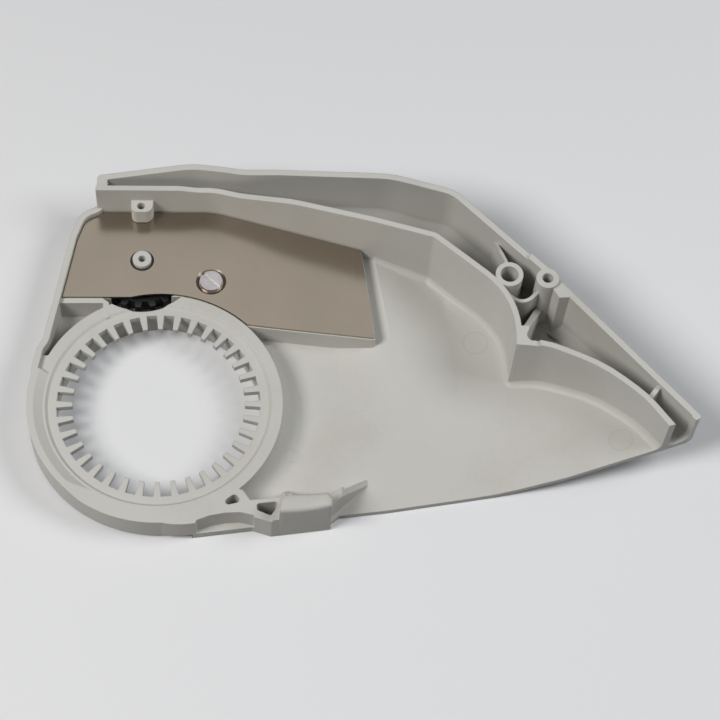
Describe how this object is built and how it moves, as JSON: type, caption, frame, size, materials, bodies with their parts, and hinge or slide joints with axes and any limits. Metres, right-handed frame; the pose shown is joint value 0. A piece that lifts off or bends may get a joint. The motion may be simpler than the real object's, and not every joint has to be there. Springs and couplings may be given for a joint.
{
  "type": "chainsaw side cover",
  "caption": "Moulded side cover of a chainsaw with a toothed nut well, a steel side plate and a chain adjusting wheel, lying with its inside up.",
  "frame": {"origin": "centre of the toothed nut well, on the plane of the flat outer face that the cover lies on", "axes": "+X along the cover from the nut well towards its tip, +Y towards the tall outer wall, +Z into the cover, from the outer face to its open side"},
  "size_m": [0.2451, 0.1399, 0.0365],
  "materials": {
    "moulding": "satin, finely eroded light grey moulding",
    "plate_steel": "bare rolled sheet steel, dull and warm grey",
    "screw_steel": "bright zinc plated",
    "wheel_plastic": "black, satin"
  },
  "bodies": {
    "cover_body": {"cover": "moulding", "side_plate": "plate_steel", "plate_screw": "screw_steel"},
    "wheel_body": {"adjusting_wheel": "wheel_plastic"}
  },
  "joints": [
    {"name": "adjusting_wheel_spin", "type": "hinge", "parent": "cover_body", "child": "wheel_body", "pos_m": [-0.0074, 0.0612, 0.006], "axis": [0, 0, 1], "continuous": true}
  ]
}
